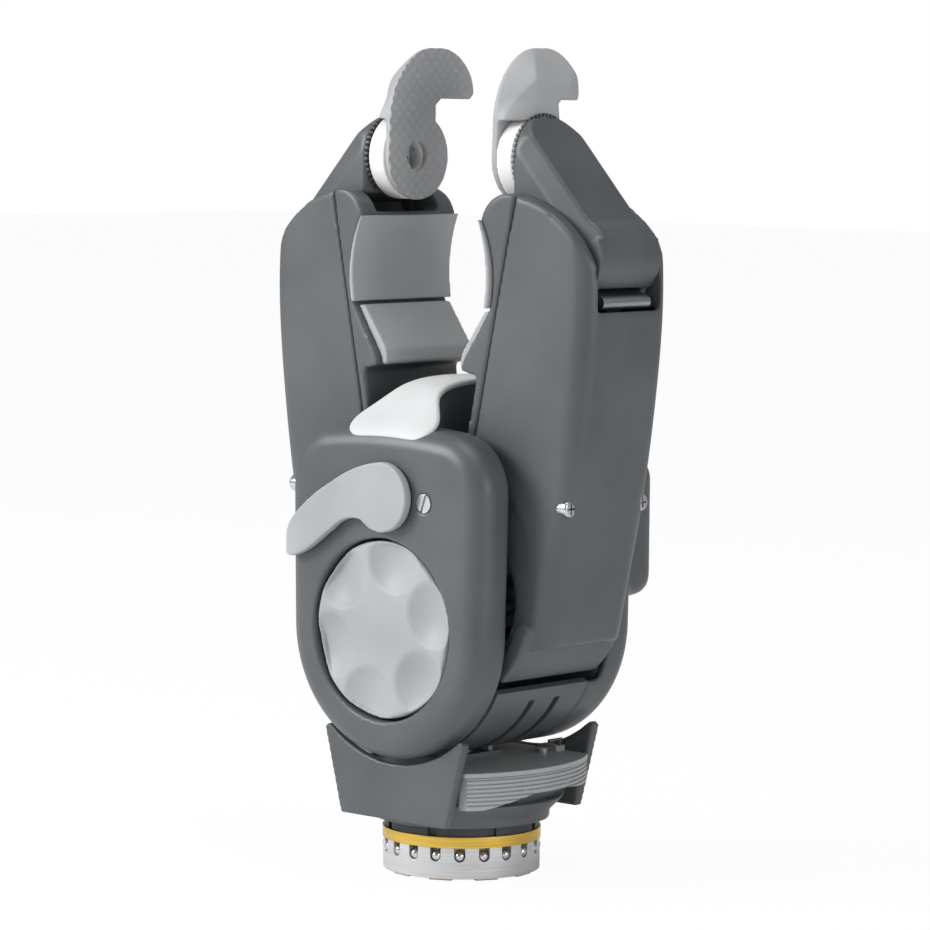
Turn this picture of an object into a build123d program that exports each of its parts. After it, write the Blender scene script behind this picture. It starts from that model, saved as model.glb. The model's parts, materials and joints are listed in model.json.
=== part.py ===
"""Powered prosthetic gripper hand: two opposing arms with hooked tips on a flexion wrist.

Millimetres. X is the way the arms open, -Y is the side with the hand wheel and the lever,
+Z points from the wrist to the tips. The origin is the centre of the coupling ring's bottom face.
"""
from build123d import *
import math
import os

# Wrist coupling
RING_R = 19.0
RING_BORE_R = 14.6
RING_HEIGHT = 7.5
BALL_COUNT = 20
BALL_R = 1.25
BALL_RACE_R = 17.95
SLOT_WIDTH = 2.65
SLOT_FLOOR = 4.1
SLOT_DEPTH = 3.0
GOLD_R = 19.2
GOLD_THICK = 2.6
COLLAR_R = 18.7
COLLAR_THICK = 2.4
TAB_COUNT = 10
TAB_WIDTH = 5.5
TAB_DROP = 0.45
TAB_R = 18.2
PLUG_R = 6.0

# Wrist bracket and flexion lock
FLANGE_R = 21.3
FLANGE_THICK = 2.5
DECK_TOP = 27.3
DECK_ARC_R = 38.4
DECK_REACH = 28.1
DECK_HALF_DEPTH = 22.2
LIP_THICK = 1.1
LOWER_INSET = 3.5
UPPER_INSET = 5.7
CHEEK_THICK = 2.4
CHEEK_CORNER_X = 22.8
CHEEK_CORNER_Z = 35.0
CHEEK_FOOT_X = 17.2
CHEEK_FOOT_Z = 13.9
CHEEK_ARC_R = 32.5
BAND_THICK = 2.2
BAND_LOW_END = 18.4
BAND_LOW_MIDDLE = 21.4
BAND_RIBS = 7
PLUNGER_R = 2.8

# Flexion drum
DRUM_R = 31.0
DRUM_AXIS_Z = 60.0
DRUM_WALL = 1.8
DRUM_TOP_Z = 46.5
DRUM_FRONT_Y = -18.6
DRUM_REAR_Y = 13.9
TRACK_Y = 4.5
TRACK_WIDTH = 2.1
TRACK_HALF_ANGLE = 58.0
SHOE_HALF_ANGLE = 9.5
SHOE_HALF_DEPTH = 8.0
SHOE_THICK = 1.9

# Hand body
SEAM_Y = 18.8
COVER_FRONT_Y = 29.5
COVER_REAR_Y = 28.3
COVER_WALL = 2.0
COVER_SHOULDER_X = 31.8
COVER_TOP_Z = 108.6
COVER_CORNER_R = 14.0
COVER_EDGE_R = 5.5
PLATE_THICK = 1.4
BULGE_REAR_Y = 36.8
PILLAR_X = 14.0
PILLAR_Z = 40.0
PILLAR_R = 2.0
SADDLE_TOP_Z = 119.5
SADDLE_WAIST = 6.9
SADDLE_FLAP_X = 14.4
SADDLE_THICK = 1.6

# Hand wheel and release lever
WHEEL_R = 21.1
WHEEL_GAP = 0.7
WHEEL_FACE_Y = -29.3
WHEEL_THICK = 4.4
WHEEL_DIMPLES = 6
DIMPLE_R = 8.4
DIMPLE_CENTRE_R = 17.4
DIMPLE_DEPTH = 1.6
DIMPLE_PHASE = 77.0
LEVER_X = 2.0
LEVER_Z = 91.9
LEVER_HUB_R = 8.3
LEVER_THICK = 2.4
COVER_SCREW_X = 13.5
COVER_SCREW_Z = 91.1

# Gear train
MODULE = 0.8
PRESSURE_ANGLE = 25.0
ADDENDUM = 0.8
DEDENDUM = 1.1
BACKLASH = 0.16
SECTOR_TEETH = 30
DRIVE_TEETH = 30
WHEEL_GEAR_TEETH = 24
WHEEL_PINION_TEETH = 12
PIVOT_Z = 68.0
SECTOR_PLANE = (-6.4, -3.4)
DRIVE_PLANE = (-9.8, -6.8)
WHEEL_PLANE = (-13.4, -10.6)

# Arms
ELBOW_X = 31.0
ELBOW_Z = 146.5
ROD_OFFSET_X = 13.5
ROD_OFFSET_Z = -7.0
AXLE_R = 2.5
HUB_R = 6.3
ELBOW_PIN_R = 2.0
ROD_PIN_R = 1.2
RUN = 0.06
SHELL_WALL = 1.8
FRAME_Y_IN = 12.5
FRAME_Y_OUT = 14.4
FORK_HALF = 11.3
SLOT_BOTTOM_Z = 136.7
ARM_DEPTH_IN = 17.5
ARM_DEPTH_OUT = 15.0
ARM_CORNER_R = 5.5
SKIRT_R = 24.6
SKIRT_WALL = 1.8
PAD_THICK = 1.2

# Finger ends
TIP_AXIS_Z = 171.4
TIP_FACE_X = 16.2
TIP_PLATE = 2.0
TIP_HUB_BACK_X = 24.0
TIP_HUB_R = 10.4
HUB_EDGE = 0.9
TIP_TOP = 26.0
TIP_NOSE_Y = 19.9
TIP_SIDE_Y = -10.0
CAP_BOTTOM_Z = 180.4
CAP_BACK_X = 23.6
TIP_HOLE_R = 3.5
PHALANX_HALF = 10.8
CLEAR = 0.3

PIVOT_X = MODULE * SECTOR_TEETH / 2
DRUM_INNER_R = DRUM_R - DRUM_WALL
COLLAR_BOTTOM = RING_HEIGHT + GOLD_THICK
FLANGE_BOTTOM = COLLAR_BOTTOM + COLLAR_THICK
BODY_BOTTOM = FLANGE_BOTTOM + FLANGE_THICK
DECK_BOTTOM = DECK_TOP - 2.8
ROD_X = PIVOT_X + ROD_OFFSET_X
ROD_Z = PIVOT_Z + ROD_OFFSET_Z
ROD_END_X = ELBOW_X + ROD_OFFSET_X
ROD_END_Z = ELBOW_Z + ROD_OFFSET_Z


def centre_distance(teeth_a, teeth_b):
    """Distance between the axes of two meshing gears."""
    return MODULE * (teeth_a + teeth_b) / 2


DRIVE_Z = PIVOT_Z - math.sqrt(centre_distance(SECTOR_TEETH, DRIVE_TEETH) ** 2 - PIVOT_X ** 2)
WHEEL_Z = PIVOT_Z - math.sqrt(centre_distance(WHEEL_GEAR_TEETH, WHEEL_PINION_TEETH) ** 2 - PIVOT_X ** 2)

nodes = {}


def slab(sketch, y_low, y_high):
    """Extrude a sketch drawn in X and Z between two depths."""
    return extrude(Plane.XZ.offset(-y_high) * sketch, amount=y_high - y_low)


def layer(sketch, z_low, z_high):
    """Extrude a sketch drawn in X and Y between two heights."""
    return extrude(Pos(0, 0, z_low) * sketch, amount=z_high - z_low)


def pin_y(x, z, radius, y_low, y_high):
    """A round bar along Y."""
    return slab(Pos(x, z) * Circle(radius), y_low, y_high)


def pin_x(y, z, radius, x_low, x_high):
    """A round bar along X."""
    return Pos((x_low + x_high) / 2, y, z) * Rot(0, 90, 0) * Cylinder(radius, x_high - x_low)


def block(x_low, x_high, y_low, y_high, z_low, z_high):
    """A box given by its limits."""
    size = (x_high - x_low, y_high - y_low, z_high - z_low)
    return Pos((x_low + x_high) / 2, (y_low + y_high) / 2, (z_low + z_high) / 2) * Box(*size)


def polar(x, z, radius, degrees):
    """A point in X and Z at an angle about a centre."""
    return (x + radius * math.cos(math.radians(degrees)), z + radius * math.sin(math.radians(degrees)))


def arc_band(x, z, inner, outer, start, stop):
    """A band between two radii about a centre, between two angles."""
    middle = (start + stop) / 2
    corners = [polar(x, z, inner, start), polar(x, z, outer, start), polar(x, z, outer, stop), polar(x, z,
                                                                                                     inner, stop)]
    edges = Line(corners[0], corners[1])
    edges += ThreePointArc(corners[1], polar(x, z, outer, middle), corners[2])
    edges += Line(corners[2], corners[3])
    edges += ThreePointArc(corners[3], polar(x, z, inner, middle), corners[0])
    return make_face(edges)


def solid_of(shape):
    """The one solid of a result, without an empty wrapper."""
    return shape.solids()[0] if len(shape.solids()) == 1 else shape


# Coupling ring, balls and rings
def ring(outer, inner, z_low, z_high):
    return layer(Circle(outer) - Circle(inner), z_low, z_high)


def build_coupling():
    slot = block(RING_R - SLOT_DEPTH, RING_R + 1, -SLOT_WIDTH / 2, SLOT_WIDTH / 2,
                 SLOT_FLOOR + SLOT_WIDTH / 2, RING_HEIGHT)
    slot += pin_x(0, SLOT_FLOOR + SLOT_WIDTH / 2, SLOT_WIDTH / 2, RING_R - SLOT_DEPTH, RING_R + 1)
    body = ring(RING_R, RING_BORE_R, 0, RING_HEIGHT)
    balls = []
    for index in range(BALL_COUNT):
        turn = Rot(0, 0, 360 * index / BALL_COUNT + 5)
        body -= turn * slot
        balls.append(turn * Pos(BALL_RACE_R, 0, SLOT_FLOOR + SLOT_WIDTH / 2) * Sphere(BALL_R))
    tab = block(RING_BORE_R + 0.6, TAB_R, -TAB_WIDTH / 2, TAB_WIDTH / 2, -TAB_DROP, 0)
    tabs = [Rot(0, 0, 360 * index / TAB_COUNT + 8) * tab for index in range(TAB_COUNT)]
    spring_ring = ring(RING_BORE_R, RING_BORE_R - 0.8, 0, 2.4)
    nodes["coupling_ring"] = body
    nodes["detent_balls"] = Compound(balls)
    nodes["contact_tabs"] = Compound(tabs)
    nodes["snap_ring"] = spring_ring
    nodes["retaining_ring"] = ring(GOLD_R, RING_BORE_R - 0.8, RING_HEIGHT, COLLAR_BOTTOM)
    collar = layer(Circle(COLLAR_R), COLLAR_BOTTOM, FLANGE_BOTTOM)
    for index in range(8):
        key = block(COLLAR_R - 0.8, COLLAR_R + 1, -1.1, 1.1, COLLAR_BOTTOM, FLANGE_BOTTOM)
        collar -= Rot(0, 0, 45 * index + 20) * key
    nodes["wrist_collar"] = collar
    plug = layer(Circle(PLUG_R), 3.4, COLLAR_BOTTOM) + layer(Circle(PLUG_R - 2.2), 0.6, 3.4)
    for height in (1.1, 2.3):
        plug -= ring(PLUG_R, PLUG_R - 2.5, height, height + 0.5)
    nodes["coaxial_plug"] = plug


# Bracket, deck and flexion lock
def deck_plan(inset):
    """Outline of the deck: two shallow arcs joined by straight sides."""
    radius = DECK_ARC_R - inset
    centre = DECK_ARC_R - DECK_REACH
    depth = DECK_HALF_DEPTH
    right = Pos(-centre, 0) * Circle(radius)
    left = Pos(centre, 0) * Circle(radius)
    return right & left & Rectangle(4 * DECK_REACH, 2 * depth)


def cheek_face():
    lip = math.sqrt(CHEEK_ARC_R ** 2 - (CHEEK_CORNER_X - 2.0) ** 2)
    arc_end = (CHEEK_CORNER_X - 2.0, DRUM_AXIS_Z - lip)
    edges = Line((-CHEEK_FOOT_X, CHEEK_FOOT_Z), (CHEEK_FOOT_X, CHEEK_FOOT_Z))
    edges += Line((CHEEK_FOOT_X, CHEEK_FOOT_Z), (CHEEK_CORNER_X, CHEEK_CORNER_Z))
    edges += Line((CHEEK_CORNER_X, CHEEK_CORNER_Z), arc_end)
    edges += ThreePointArc(arc_end, (0, DRUM_AXIS_Z - CHEEK_ARC_R), (-arc_end[0], arc_end[1]))
    edges += Line((-arc_end[0], arc_end[1]), (-CHEEK_CORNER_X, CHEEK_CORNER_Z))
    edges += Line((-CHEEK_CORNER_X, CHEEK_CORNER_Z), (-CHEEK_FOOT_X, CHEEK_FOOT_Z))
    face = make_face(edges)
    corners = face.vertices().filter_by(lambda v: abs(v.Y - CHEEK_CORNER_Z) < 0.01)
    return fillet(corners, 0.9)


def build_bracket():
    body = layer(Circle(FLANGE_R), FLANGE_BOTTOM, BODY_BOTTOM)
    lower = layer(deck_plan(LOWER_INSET), BODY_BOTTOM, BAND_LOW_END)
    body += chamfer(lower.faces().sort_by(Axis.Z)[0].edges(), 2.0)
    body += layer(deck_plan(UPPER_INSET), BAND_LOW_END, DECK_BOTTOM)
    for side in (-1, 1):
        near = side * DECK_HALF_DEPTH
        far = side * (DECK_HALF_DEPTH + CHEEK_THICK)
        body += slab(cheek_face(), min(near, far), max(near, far))
    tunnel = block(-40, 40, -8.4, 8.4, 21.6, 23.7)
    bore = Pos(0, 0, DECK_BOTTOM - 1) * Cylinder(PLUNGER_R + RUN, 4)
    body -= tunnel + bore
    nodes["wrist_bracket"] = body
    deck = layer(deck_plan(UPPER_INSET), DECK_BOTTOM, DECK_TOP - LIP_THICK)
    deck += layer(deck_plan(0), DECK_TOP - LIP_THICK, DECK_TOP)
    deck -= layer(Circle(PLUNGER_R + RUN), DECK_BOTTOM, DECK_TOP)
    nodes["deck_plate"] = deck
    band = layer(deck_plan(0.2) - deck_plan(0.2 + BAND_THICK), BAND_LOW_END, DECK_TOP - LIP_THICK - 0.15)
    band &= block(-40, 40, -21.6, 21.6, 0, 40)
    for index in range(BAND_RIBS):
        height = BAND_LOW_END + 1.0 + index
        groove = deck_plan(0) - deck_plan(0.55)
        band -= layer(groove, height, height + 0.35)
    under = Polyline((-30, 5), (-30, BAND_LOW_END - 1), (-18, BAND_LOW_END), (-5, BAND_LOW_MIDDLE),
                     (8, BAND_LOW_MIDDLE), (18, BAND_LOW_MIDDLE - 1), (30, BAND_LOW_MIDDLE - 1), (30,
                                                                                                  5), close=True)
    band -= extrude(Plane.YZ.offset(-40) * make_face(under), amount=80)
    bar_reach = DECK_REACH - BAND_THICK / 2
    bar = block(-bar_reach, bar_reach, -8.1, 8.1, 21.8, 23.5)
    ramp = make_face(Polyline((1.3, 24), (1.3, 23.5), (-1.3, 22.5), (-4.2, 22.5), (-4.2, 24), close=True))
    nodes["lock_slide"] = band + bar - slab(ramp, -2, 2)
    follower = layer(Circle(1.2), 23.6, 24.8)
    nodes["lock_plunger"] = follower + layer(Circle(PLUNGER_R), 24.8, DECK_TOP + 1.2)
    shoe_top = DRUM_INNER_R - CLEAR
    shoe = layer(Rectangle(12, 2 * SHOE_HALF_DEPTH) - Circle(PLUNGER_R + 0.2), DECK_TOP, DECK_TOP + 0.9)
    head = arc_band(0, DRUM_AXIS_Z, shoe_top - SHOE_THICK, shoe_top, -90 - SHOE_HALF_ANGLE,
                    -90 + SHOE_HALF_ANGLE)
    shoe += slab(head, -SHOE_HALF_DEPTH, SHOE_HALF_DEPTH)
    for side in (-1, 1):
        middle = side * TRACK_Y
        post = slab(arc_band(0, DRUM_AXIS_Z, shoe_top - 0.5, DRUM_AXIS_Z - DECK_TOP, -90 - SHOE_HALF_ANGLE,
                             -90 + SHOE_HALF_ANGLE), middle - TRACK_WIDTH / 2 + CLEAR, middle + TRACK_WIDTH / 2 - CLEAR)
        shoe += post & block(-20, 20, -20, 20, DECK_TOP + 0.1, 40)
    nodes["flexion_shoe"] = shoe
    screws = []
    for x, y in ((12, -17), (-12, -17), (12, 15.5), (-12, 15.5)):
        screws.append(Pos(x, y, DECK_TOP) * Cylinder(1.9, 1.0, align=(Align.CENTER, Align.CENTER,
                                                                      Align.MIN)))
    nodes["deck_screws"] = Compound(screws)
    tab = block(8.0, 14.0, 18.6, 21.8, DECK_TOP, DECK_TOP + 1.3)
    wire = pin_y(13.0, DECK_TOP + 2.6, 0.5, 17.0, 21.6) + block(12.5, 13.5, 20.6, 21.6, DECK_TOP + 1.3,
                                                                DECK_TOP + 2.6)
    nodes["catch_tab"] = tab
    nodes["catch_wire"] = wire


# Hand body
def hand_outline(inset, shoulder=COVER_SHOULDER_X):
    """Outline of the hand body seen from the front, drawn inwards by an inset."""
    radius = DRUM_R - inset
    wide = shoulder - inset
    top = COVER_TOP_Z - inset
    edges = ThreePointArc((-radius, DRUM_AXIS_Z), (0, DRUM_AXIS_Z - radius), (radius, DRUM_AXIS_Z))
    edges += Line((radius, DRUM_AXIS_Z), (wide, top - 3.2))
    edges += ThreePointArc((wide, top - 3.2), (0, top), (-wide, top - 3.2))
    edges += Line((-wide, top - 3.2), (-radius, DRUM_AXIS_Z))
    face = make_face(edges)
    corners = face.vertices().filter_by(lambda v: v.Y > top - 4)
    return fillet(corners, COVER_CORNER_R - inset)


def build_covers():
    front = slab(hand_outline(0), -COVER_FRONT_Y, -SEAM_Y)
    front = fillet(front.faces().sort_by(Axis.Y)[0].edges(), COVER_EDGE_R)
    front = chamfer(front.faces().sort_by(Axis.Y)[-1].edges(), 0.9)
    front -= slab(hand_outline(COVER_WALL), -COVER_FRONT_Y + COVER_WALL, -SEAM_Y)
    cup_r = WHEEL_R + WHEEL_GAP
    cup_floor = WHEEL_FACE_Y + WHEEL_THICK + 0.7
    front += pin_y(0, WHEEL_Z, cup_r + 1.5, -COVER_FRONT_Y + 0.5, cup_floor + 1.4)
    front -= pin_y(0, WHEEL_Z, cup_r, -COVER_FRONT_Y - 1, cup_floor)
    front -= pin_y(0, WHEEL_Z, 3.0 + RUN, cup_floor - 1, -SEAM_Y)
    front -= pin_y(LEVER_X, LEVER_Z, 3.0 + RUN, -COVER_FRONT_Y - 1, -SEAM_Y)
    front -= pin_y(COVER_SCREW_X, COVER_SCREW_Z, 2.4, -COVER_FRONT_Y - 1, -COVER_FRONT_Y + 1.2)
    nodes["front_cover"] = front
    rear = slab(hand_outline(0), SEAM_Y, COVER_REAR_Y)
    rear = fillet(rear.faces().sort_by(Axis.Y)[-1].edges(), COVER_EDGE_R)
    bulge_root = Pos(0, 80) * RectangleRounded(57, 50, 11)
    bulge_top = Pos(0, 84) * RectangleRounded(44, 27, 10)
    bulge = loft([Plane.XZ.offset(-SEAM_Y - 4) * bulge_root, Plane.XZ.offset(-BULGE_REAR_Y) * bulge_top])
    rear += fillet(bulge.faces().sort_by(Axis.Y)[-1].edges(), 3.0)
    rear -= slab(hand_outline(COVER_WALL), SEAM_Y, COVER_REAR_Y - COVER_WALL)
    rear -= pin_y(0, DRIVE_Z, 10.2, SEAM_Y, COVER_REAR_Y - 1.2)
    under = hand_outline(0) & Pos(0, DRUM_TOP_Z - 40) * Rectangle(80, 80)
    under_inner = hand_outline(DRUM_WALL) & Pos(0, DRUM_TOP_Z - 40) * Rectangle(80, 80)
    rear += slab(under - under_inner, DRUM_REAR_Y + 0.25, SEAM_Y)
    nodes["rear_cover"] = rear
    nodes["cover_screw"] = pin_y(COVER_SCREW_X, COVER_SCREW_Z, 2.25, -COVER_FRONT_Y + 0.1,
                                 -COVER_FRONT_Y + 1.2)
    nodes["cover_screw"] -= Pos(COVER_SCREW_X, 0, COVER_SCREW_Z) * Rot(0, 20, 0) * block(-0.3, 0.3,
                                                                                         -COVER_FRONT_Y - 1, -COVER_FRONT_Y + 0.7, -3, 3)


def build_drum():
    shell = slab(arc_band(0, DRUM_AXIS_Z, DRUM_INNER_R, DRUM_R, -90 - 64.2, -90 + 64.2), DRUM_FRONT_Y,
                 DRUM_REAR_Y)
    for side in (-1, 1):
        middle = side * TRACK_Y
        track = arc_band(0, DRUM_AXIS_Z, DRUM_INNER_R - 1, DRUM_R + 1, -90 - TRACK_HALF_ANGLE,
                         -90 + TRACK_HALF_ANGLE)
        shell -= slab(track, middle - TRACK_WIDTH / 2, middle + TRACK_WIDTH / 2)
    for low, high in ((-12.0, -10.2), (10.2, 12.0)):
        web = arc_band(0, DRUM_AXIS_Z, 24.5, DRUM_INNER_R + 0.2, -90 - 37, -90 + 37)
        web -= Pos(PILLAR_X, PILLAR_Z) * Circle(PILLAR_R + 0.05)
        web -= Pos(-PILLAR_X, PILLAR_Z) * Circle(PILLAR_R + 0.05)
        shell += slab(web, low, high)
    nodes["drum_shell"] = shell


def build_chassis():
    plate = hand_outline(COVER_WALL + 0.3)
    for x in (-PIVOT_X, PIVOT_X):
        plate -= Pos(x, PIVOT_Z) * Circle(AXLE_R)
    for x in (-ROD_X, ROD_X):
        plate -= Pos(x, ROD_Z) * Circle(ROD_PIN_R)
    front = slab(plate - Pos(0, WHEEL_Z) * Circle(3.0 + RUN), -SEAM_Y - PLATE_THICK, -SEAM_Y)
    rear = slab(plate - Pos(0, DRIVE_Z) * Circle(9.6), SEAM_Y, SEAM_Y + PLATE_THICK)
    pillars = pin_y(PILLAR_X, PILLAR_Z, PILLAR_R, -SEAM_Y, SEAM_Y)
    pillars += pin_y(-PILLAR_X, PILLAR_Z, PILLAR_R, -SEAM_Y, SEAM_Y)
    bosses = []
    for x in (-PIVOT_X, PIVOT_X):
        tube = Pos(x, PIVOT_Z) * (Circle(4.6) - Circle(AXLE_R))
        bosses.append(slab(tube, -SEAM_Y, -FRAME_Y_OUT - CLEAR))
        bosses.append(slab(tube, FRAME_Y_OUT + CLEAR, SEAM_Y))
    chassis = front + rear + pillars
    for boss in bosses:
        chassis += boss
    chassis += block(-6.2, 6.2, -SEAM_Y, SEAM_Y, 98, 103)
    nodes["chassis"] = chassis
    crest = SADDLE_TOP_Z - SADDLE_THICK
    side = make_face(Polyline((-SEAM_Y, 103), (-SEAM_Y, 112.2), (-13.5, crest - 1.6), (0, crest), (13.5,
                                                                                                   crest - 1.6),
                              (SEAM_Y, 112.2), (SEAM_Y, 103), close=True))
    nodes["palm_support"] = extrude(Plane.YZ.offset(-6.4) * side, amount=12.8)
    axles = [pin_y(x, PIVOT_Z, AXLE_R, -SEAM_Y - PLATE_THICK, SEAM_Y + PLATE_THICK) for x in (-PIVOT_X,
                                                                                              PIVOT_X)]
    nodes["arm_axles"] = Compound(axles)
    pins = [pin_y(x, ROD_Z, ROD_PIN_R, -SEAM_Y - PLATE_THICK, SEAM_Y + PLATE_THICK) for x in (-ROD_X, ROD_X)]
    nodes["rod_pivot_pins"] = Compound(pins)
    nodes["gearhead"] = pin_y(0, DRIVE_Z, 9.6, -2.6, SEAM_Y + PLATE_THICK) - pin_y(0, DRIVE_Z, 2.0 + RUN,
                                                                                   -3, 4)
    nodes["motor"] = pin_y(0, DRIVE_Z, 8.5, SEAM_Y + PLATE_THICK, COVER_REAR_Y - 1.6)
    board = slab(Pos(0, 83) * Rectangle(40, 26), SEAM_Y + PLATE_THICK, SEAM_Y + PLATE_THICK + 1.6)
    board += slab(Pos(-8, 86) * Rectangle(10, 10), SEAM_Y + PLATE_THICK + 1.6, SEAM_Y + PLATE_THICK + 3.2)
    board += slab(Pos(8, 80) * Rectangle(7, 7), SEAM_Y + PLATE_THICK + 1.6, SEAM_Y + PLATE_THICK + 3.0)
    nodes["circuit_board"] = board


def build_saddle():
    """Palm pad: a thin saddle over the middle with two flaps on the covers."""
    top = SADDLE_TOP_Z
    outer = Spline((-25.2, 107.6), (-21.5, 113.6), (-14, 118.4), (0, top), (14, 118.4), (21.5, 113.6),
                   (25.2, 107.6))
    inner = Spline((-25.2 + SADDLE_THICK, 107.6), (-20.2, 112.4), (-13.5, 116.8), (0, top - SADDLE_THICK),
                   (13.5, 116.8), (20.2, 112.4), (25.2 - SADDLE_THICK, 107.6))
    side = make_face(outer + Line(outer @ 1, inner @ 1) + inner + Line(inner @ 0, outer @ 0))
    sheet = extrude(Plane.YZ.offset(-20) * side, amount=40)
    right = Spline((SADDLE_WAIST, -12), (7.2, -17.8), (SADDLE_FLAP_X - 1.8, -22.6), (SADDLE_FLAP_X, -28))
    edges = right + mirror(right, about=Plane.XZ)
    upper = Line((SADDLE_WAIST, -12), (SADDLE_WAIST, 12))
    contour = edges + upper
    contour += mirror(contour, about=Plane.YZ)
    contour += Line((-SADDLE_FLAP_X, -28), (SADDLE_FLAP_X, -28)) + Line((-SADDLE_FLAP_X, 28),
                                                                        (SADDLE_FLAP_X, 28))
    plan = layer(make_face(contour), 100, 125)
    nodes["palm_saddle"] = (sheet & plan) - nodes["front_cover"] - nodes["rear_cover"]


def build_wheel():
    disc = pin_y(0, WHEEL_Z, WHEEL_R, WHEEL_FACE_Y, WHEEL_FACE_Y + WHEEL_THICK)
    disc = fillet(disc.faces().sort_by(Axis.Y)[0].edges(), 1.2)
    ball_r = (DIMPLE_R ** 2 + DIMPLE_DEPTH ** 2) / (2 * DIMPLE_DEPTH)
    for index in range(WHEEL_DIMPLES):
        x, z = polar(0, WHEEL_Z, DIMPLE_CENTRE_R, DIMPLE_PHASE + 360 * index / WHEEL_DIMPLES)
        disc -= Pos(x, WHEEL_FACE_Y + DIMPLE_DEPTH - ball_r, z) * Sphere(ball_r)
    nodes["hand_wheel"] = disc
    mesh = math.degrees(math.atan2(PIVOT_Z - WHEEL_Z, PIVOT_X))
    pinion = gear(WHEEL_PINION_TEETH, 0, WHEEL_Z, mesh + 180 / WHEEL_PINION_TEETH, 0, 360, 2.0)
    shaft = pin_y(0, WHEEL_Z, 3.0, WHEEL_FACE_Y + WHEEL_THICK, WHEEL_PLANE[0])
    nodes["wheel_pinion"] = shaft + slab(pinion, *WHEEL_PLANE)


def build_lever():
    hub = Circle(LEVER_HUB_R)
    tip_top = (-29.4, -12.0)
    tip_low = (-25.7, -16.0)
    top = ThreePointArc((-1.0, LEVER_HUB_R - 0.06), (-16.8, 2.2), tip_top)
    end = ThreePointArc(tip_top, (-29.0, -15.3), tip_low)
    low = Spline(tip_low, (-18.4, -10.9), (-12.0, -6.2), (-7.2, -5.6), (-3.2, -7.6))
    back = Line(low @ 1, top @ 0)
    face = Pos(LEVER_X, LEVER_Z) * (hub + make_face(top + end + low + back))
    lever = slab(face, -COVER_FRONT_Y - CLEAR - LEVER_THICK, -COVER_FRONT_Y - CLEAR)
    nodes["release_lever"] = lever + pin_y(LEVER_X, LEVER_Z, 3.0, -COVER_FRONT_Y - 0.5,
                                           -SEAM_Y - PLATE_THICK - CLEAR)


# Gears
def involute(angle):
    return math.tan(angle) - angle


def gear_tooth(teeth):
    """One tooth on the X axis, from below the root circle to the tip."""
    pressure = math.radians(PRESSURE_ANGLE)
    pitch_r = MODULE * teeth / 2
    base_r = pitch_r * math.cos(pressure)
    tip_r = pitch_r + ADDENDUM * MODULE
    root_r = pitch_r - DEDENDUM * MODULE
    half_pitch = (math.pi * MODULE / 2 - BACKLASH) / (2 * pitch_r)
    start_r = max(base_r, root_r)
    flank = []
    for step in range(4):
        radius = start_r + (tip_r - start_r) * step / 3
        half = half_pitch + involute(pressure) - involute(math.acos(base_r / radius))
        flank.append((radius * math.cos(half), radius * math.sin(half)))
    foot_angle = math.atan2(flank[0][1], flank[0][0])
    foot = ((root_r - 0.3) * math.cos(foot_angle), (root_r - 0.3) * math.sin(foot_angle))
    upper = Spline(*flank)
    lower = Spline(*[(x, -y) for x, y in flank])
    edges = Line(foot, flank[0]) + upper + Line(flank[-1], (flank[-1][0], -flank[-1][1])) + lower
    edges += Line((flank[0][0], -flank[0][1]), (foot[0], -foot[1])) + Line((foot[0], -foot[1]), foot)
    return make_face(edges)


def gear(teeth, x, z, phase, start, stop, bore_r):
    """A gear, or a sector of one between two angles, with a tooth at the phase angle."""
    tooth = gear_tooth(teeth)
    root_r = MODULE * teeth / 2 - DEDENDUM * MODULE
    pitch = 360 / teeth
    if stop - start >= 360:
        face = Circle(root_r)
    else:
        face = make_face(Line((0, 0), polar(0, 0, root_r, start))
                         + ThreePointArc(polar(0, 0, root_r, start), polar(0, 0, root_r, (start + stop) / 2),
                                         polar(0, 0, root_r, stop))
                         + Line(polar(0, 0, root_r, stop), (0, 0)))
    for index in range(teeth):
        angle = start + (phase + index * pitch - start) % 360
        if stop - start >= 360 or start + pitch / 2 < angle < stop - pitch / 2:
            face += Rot(0, 0, angle) * tooth
    return Pos(x, z) * (face - Circle(bore_r))


def build_drive():
    mesh = math.degrees(math.atan2(PIVOT_Z - DRIVE_Z, PIVOT_X))
    wheel = gear(DRIVE_TEETH, 0, DRIVE_Z, mesh + 180 / DRIVE_TEETH, 0, 360, 1.0)
    shaft = pin_y(0, DRIVE_Z, 2.0, DRIVE_PLANE[1], 3.5)
    nodes["drive_gear"] = slab(wheel, *DRIVE_PLANE) + shaft


# Arms, modelled on the +X side
ARM_SECTIONS = ((48, 36.3), (60, 39.2), (72, 41.8), (90, 45.6), (111, 48.9), (130, 50.9), (146, 51.2),
                (168, 50.0))


def arm_section(x_out, inset):
    inner = 4.0
    face = make_face(Polyline((inner, ARM_DEPTH_IN - inset), (x_out - inset, ARM_DEPTH_OUT - inset),
                              (x_out - inset, -ARM_DEPTH_OUT + inset), (inner,
                                                                        -ARM_DEPTH_IN + inset), close=True))
    corners = face.vertices().filter_by(lambda v: v.X > inner + 1)
    return fillet(corners, ARM_CORNER_R - inset)


def arm_loft(inset):
    return loft([Pos(0, 0, height) * arm_section(x_out, inset) for height, x_out in ARM_SECTIONS])


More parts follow.
